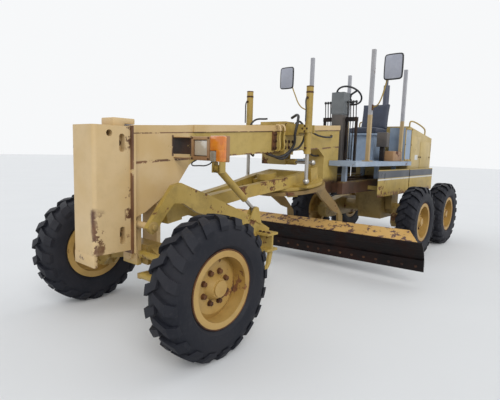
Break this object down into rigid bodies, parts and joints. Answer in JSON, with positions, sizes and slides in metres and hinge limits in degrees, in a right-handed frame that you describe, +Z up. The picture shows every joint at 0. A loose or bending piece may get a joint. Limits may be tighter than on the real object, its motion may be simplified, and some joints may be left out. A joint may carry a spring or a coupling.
{
  "type": "motor grader",
  "caption": "Motor grader with an open operator station, leaning front wheels, tandem rear wheels, a blade under its frame and a scarifier.",
  "frame": {"origin": "on the floor, under the middle of the machine's length and width", "axes": "+Z up, -Y the way the machine drives forwards, +X the machine's left side"},
  "size_m": [3.1529, 7.165, 3.04],
  "materials": {
    "painted_frame": "worn ochre yellow paint with rust stains",
    "faded_paint": "sun-faded cream yellow paint with rust at its edges",
    "slate_paint": "worn blue-grey paint",
    "panel_paint": "ochre yellow paint with a blue-grey stripe and a white line",
    "console_paint": "dark grey paint, rusty column",
    "lever_steel": "black paint with black knobs",
    "seat_cover": "black vinyl, matt",
    "post_paint": "worn grey and yellow paint",
    "engine_paint": "dark grey paint",
    "black_metal": "sooty matt black paint",
    "lamp_housing": "rusty brown paint with clear and amber lenses",
    "mirror_shell": "matt black plastic with mirror glass",
    "casting_paint": "ochre yellow paint with grease and dust",
    "bright_steel": "ground steel rod, satin",
    "rusty_paint": "yellow paint worn to rust",
    "blade_rust": "dark brown rust, rubbed bright at the edge",
    "black_rim": "black plastic, satin",
    "tyre_rubber": "dusty dark rubber",
    "rim_paint": "ochre paint with rusty flange and bolts"
  },
  "bodies": {
    "root": {"main_frame": "painted_frame", "front_weight": "faded_paint", "lift_yoke": "painted_frame", "deck": "slate_paint", "lower_panels": "panel_paint", "console": "console_paint", "control_levers": "lever_steel", "deck_boxes": "slate_paint", "seat": "seat_cover", "canopy_posts": "post_paint", "hood": "painted_frame", "engine_block": "engine_paint", "grille": "painted_frame", "exhaust_stack": "black_metal", "front_lamps": "lamp_housing", "mirrors": "mirror_shell", "rear_axle": "casting_paint"},
    "steering_wheel": {"steering_wheel": "black_rim"},
    "front_axle": {"front_axle": "casting_paint", "lean_barrel": "painted_frame"},
    "lean_yoke_left": {"lean_yoke_left": "casting_paint", "steer_barrel": "painted_frame"},
    "lean_yoke_right": {"lean_yoke_right": "casting_paint"},
    "knuckle_left": {"knuckle_left": "casting_paint"},
    "knuckle_right": {"knuckle_right": "casting_paint"},
    "lean_bar": {"lean_bar": "painted_frame"},
    "tie_link": {"tie_link": "painted_frame"},
    "tie_rod": {"tie_rod": "painted_frame"},
    "steer_rod": {"steer_rod": "bright_steel"},
    "lean_rod": {"lean_rod": "bright_steel"},
    "ball_shell": {"ball_shell": "bright_steel"},
    "drawbar": {"drawbar": "painted_frame"},
    "blade_circle": {"blade_circle": "rusty_paint"},
    "blade_carriage": {"blade_carriage": "rusty_paint"},
    "blade": {"mouldboard": "blade_rust", "cutting_edge": "blade_rust"},
    "lift_barrel_left": {"lift_barrel_left": "painted_frame"},
    "lift_barrel_right": {"lift_barrel_right": "painted_frame"},
    "lift_rod_left": {"lift_rod_left": "bright_steel"},
    "lift_rod_right": {"lift_rod_right": "bright_steel"},
    "shift_barrel": {"shift_barrel": "painted_frame"},
    "shift_rod": {"shift_rod": "bright_steel"},
    "scarifier": {"scarifier": "painted_frame"},
    "scarifier_barrel": {"scarifier_barrel": "painted_frame"},
    "scarifier_rod": {"scarifier_rod": "bright_steel"},
    "tandem_left": {"tandem_left": "casting_paint"},
    "tandem_right": {"tandem_right": "casting_paint"},
    "wheel_front_left": {"tyre_front_left": "tyre_rubber", "rim_front_left": "rim_paint"},
    "wheel_front_right": {"tyre_front_right": "tyre_rubber", "rim_front_right": "rim_paint"},
    "wheel_mid_left": {"tyre_mid_left": "tyre_rubber", "rim_mid_left": "rim_paint"},
    "wheel_mid_right": {"tyre_mid_right": "tyre_rubber", "rim_mid_right": "rim_paint"},
    "wheel_rear_left": {"tyre_rear_left": "tyre_rubber", "rim_rear_left": "rim_paint"},
    "wheel_rear_right": {"tyre_rear_right": "tyre_rubber", "rim_rear_right": "rim_paint"}
  },
  "joints": [
    {"name": "axle_rock", "type": "hinge", "parent": "root", "child": "front_axle", "pos_m": [0, -3.0325, 0.665], "axis": [0, 1, 0], "range_deg": [-14, 14]},
    {"name": "wheel_lean", "type": "hinge", "parent": "front_axle", "child": "lean_yoke_left", "pos_m": [0.49, -3.0325, 0.56], "axis": [0, 1, 0], "range_deg": [-18, 18]},
    {"name": "wheel_lean_right", "type": "hinge", "parent": "front_axle", "child": "lean_yoke_right", "pos_m": [-0.49, -3.0325, 0.56], "axis": [0, 1, 0], "range_deg": [-18.5, 18.5]},
    {"name": "lean_bar_pin", "type": "hinge", "parent": "lean_yoke_left", "child": "lean_bar", "pos_m": [0.49, -2.8745, 0.68], "axis": [0, 1, 0], "range_deg": [-18.5, 18.5]},
    {"name": "lean_stroke", "type": "slide", "parent": "front_axle", "child": "lean_rod", "axis": [1, 0, 0], "range_m": [-0.039, 0.039]},
    {"name": "steer", "type": "hinge", "parent": "lean_yoke_left", "child": "knuckle_left", "pos_m": [0.64, -3.0325, 0.56], "axis": [0, 0, 1], "range_deg": [-36, 36]},
    {"name": "steer_right", "type": "hinge", "parent": "lean_yoke_right", "child": "knuckle_right", "pos_m": [-0.64, -3.0325, 0.56], "axis": [0, 0, 1], "range_deg": [-36.5, 36.5]},
    {"name": "tie_link_pin", "type": "hinge", "parent": "knuckle_left", "child": "tie_link", "pos_m": [0.64, -2.8525, 0.527], "axis": [0, 0, 1], "range_deg": [-36.5, 36.5]},
    {"name": "tie_rod_pin", "type": "hinge", "parent": "tie_link", "child": "tie_rod", "pos_m": [0.64, -2.8065, 0.527], "axis": [0, 1, 0], "range_deg": [-22, 22]},
    {"name": "steer_stroke", "type": "slide", "parent": "lean_yoke_left", "child": "steer_rod", "axis": [1, 0, 0], "range_m": [-0.107, 0.107]},
    {"name": "steering_wheel_turn", "type": "hinge", "parent": "root", "child": "steering_wheel", "pos_m": [0, 0.7675, 2.47], "axis": [0, 0.6157, 0.788], "range_deg": [-435, 435]},
    {"name": "wheel_front_left_turn", "type": "hinge", "parent": "knuckle_left", "child": "wheel_front_left", "pos_m": [0.9, -3.0325, 0.55], "axis": [1, 0, 0], "continuous": true},
    {"name": "tandem_rock_left", "type": "hinge", "parent": "root", "child": "tandem_left", "pos_m": [0.67, 2.0875, 0.62], "axis": [1, 0, 0], "range_deg": [-13, 13]},
    {"name": "wheel_mid_left_turn", "type": "hinge", "parent": "tandem_left", "child": "wheel_mid_left", "pos_m": [0.95, 1.4005, 0.55], "axis": [1, 0, 0], "continuous": true},
    {"name": "wheel_rear_left_turn", "type": "hinge", "parent": "tandem_left", "child": "wheel_rear_left", "pos_m": [0.95, 2.7745, 0.55], "axis": [1, 0, 0], "continuous": true},
    {"name": "wheel_front_right_turn", "type": "hinge", "parent": "knuckle_right", "child": "wheel_front_right", "pos_m": [-0.9, -3.0325, 0.55], "axis": [1, 0, 0], "continuous": true},
    {"name": "tandem_rock_right", "type": "hinge", "parent": "root", "child": "tandem_right", "pos_m": [-0.67, 2.0875, 0.62], "axis": [1, 0, 0], "range_deg": [-13, 13]},
    {"name": "wheel_mid_right_turn", "type": "hinge", "parent": "tandem_right", "child": "wheel_mid_right", "pos_m": [-0.95, 1.4005, 0.55], "axis": [1, 0, 0], "continuous": true},
    {"name": "wheel_rear_right_turn", "type": "hinge", "parent": "tandem_right", "child": "wheel_rear_right", "pos_m": [-0.95, 2.7745, 0.55], "axis": [1, 0, 0], "continuous": true},
    {"name": "drawbar_swing", "type": "hinge", "parent": "root", "child": "ball_shell", "pos_m": [0, -2.7825, 0.985], "axis": [0, 0, -1], "range_deg": [-6, 6]},
    {"name": "drawbar_lift", "type": "hinge", "parent": "ball_shell", "child": "drawbar", "pos_m": [0, -2.7825, 0.985], "axis": [1, 0, 0], "range_deg": [-10, 4]},
    {"name": "circle_turn", "type": "hinge", "parent": "drawbar", "child": "blade_circle", "pos_m": [0, -0.83443, 1.14126], "axis": [0, -0.1461, 0.9893], "range_deg": [-33.8, 26.2]},
    {"name": "blade_tip", "type": "hinge", "parent": "blade_circle", "child": "blade_carriage", "pos_m": [-0.04672, -0.00267, 0.324], "axis": [0.9978, 0.0656, 0.0097], "range_deg": [-5, 25]},
    {"name": "blade_shift", "type": "slide", "parent": "blade_carriage", "child": "blade", "axis": [-0.9978, -0.0656, -0.0097], "range_m": [-0.45, 0.45]},
    {"name": "lift_trunnion_left", "type": "hinge", "parent": "root", "child": "lift_barrel_left", "pos_m": [0.45, -1.0725, 1.85], "axis": [0, 1, 0], "range_deg": [-18.5, 18.5]},
    {"name": "lift_stroke_left", "type": "slide", "parent": "lift_barrel_left", "child": "lift_rod_left", "axis": [0, 0, 1], "range_m": [-0.33, 0.13]},
    {"name": "lift_trunnion_right", "type": "hinge", "parent": "root", "child": "lift_barrel_right", "pos_m": [-0.45, -1.0725, 1.85], "axis": [0, 1, 0], "range_deg": [-18.5, 18.5]},
    {"name": "lift_stroke_right", "type": "slide", "parent": "lift_barrel_right", "child": "lift_rod_right", "axis": [0, 0, 1], "range_m": [-0.33, 0.13]},
    {"name": "shift_pin", "type": "hinge", "parent": "root", "child": "shift_barrel", "pos_m": [-0.43, -0.7025, 1.45], "axis": [0, 1, 0], "range_deg": [-23.2, 38.8]},
    {"name": "shift_stroke", "type": "slide", "parent": "shift_barrel", "child": "shift_rod", "axis": [1, 0, 0], "range_m": [-0.24, 0.24]},
    {"name": "scarifier_lift", "type": "hinge", "parent": "root", "child": "scarifier", "pos_m": [0.33, -3.1725, 0.94], "axis": [1, 0, 0], "range_deg": [-18, 3]},
    {"name": "scarifier_cylinder_pin", "type": "hinge", "parent": "root", "child": "scarifier_barrel", "pos_m": [0.33, -2.4125, 1.4], "axis": [1, 0, 0], "range_deg": [-25, 6]},
    {"name": "scarifier_stroke", "type": "slide", "parent": "scarifier_barrel", "child": "scarifier_rod", "axis": [0, 0.7781, -0.6282], "range_m": [-0.07, 0.33]}
  ],
  "couplings": [
    {"joint": "wheel_lean_right", "follows": "wheel_lean", "ratio": 1},
    {"joint": "lean_bar_pin", "follows": "wheel_lean", "ratio": -1},
    {"joint": "lean_stroke", "follows": "wheel_lean", "m_per_rad": 0.11804},
    {"joint": "steer_right", "follows": "steer", "ratio": 1},
    {"joint": "tie_link_pin", "follows": "steer", "ratio": -1},
    {"joint": "tie_rod_pin", "follows": "wheel_lean", "ratio": -0.76562},
    {"joint": "steer_stroke", "follows": "steer", "m_per_rad": 0.16839},
    {"joint": "steering_wheel_turn", "follows": "steer", "ratio": 12},
    {"joint": "lift_trunnion_left", "follows": "drawbar_swing", "ratio": -2.7115},
    {"joint": "lift_stroke_left", "follows": "drawbar_lift", "m_per_rad": 1.7166},
    {"joint": "lift_trunnion_right", "follows": "drawbar_swing", "ratio": -2.7115},
    {"joint": "lift_stroke_right", "follows": "drawbar_lift", "m_per_rad": 1.7166},
    {"joint": "shift_pin", "follows": "drawbar_lift", "ratio": -2.789},
    {"joint": "shift_stroke", "follows": "drawbar_swing", "m_per_rad": 2.0762},
    {"joint": "scarifier_cylinder_pin", "follows": "scarifier_lift", "ratio": 1.205},
    {"joint": "scarifier_stroke", "follows": "scarifier_lift", "m_per_rad": -0.868}
  ]
}
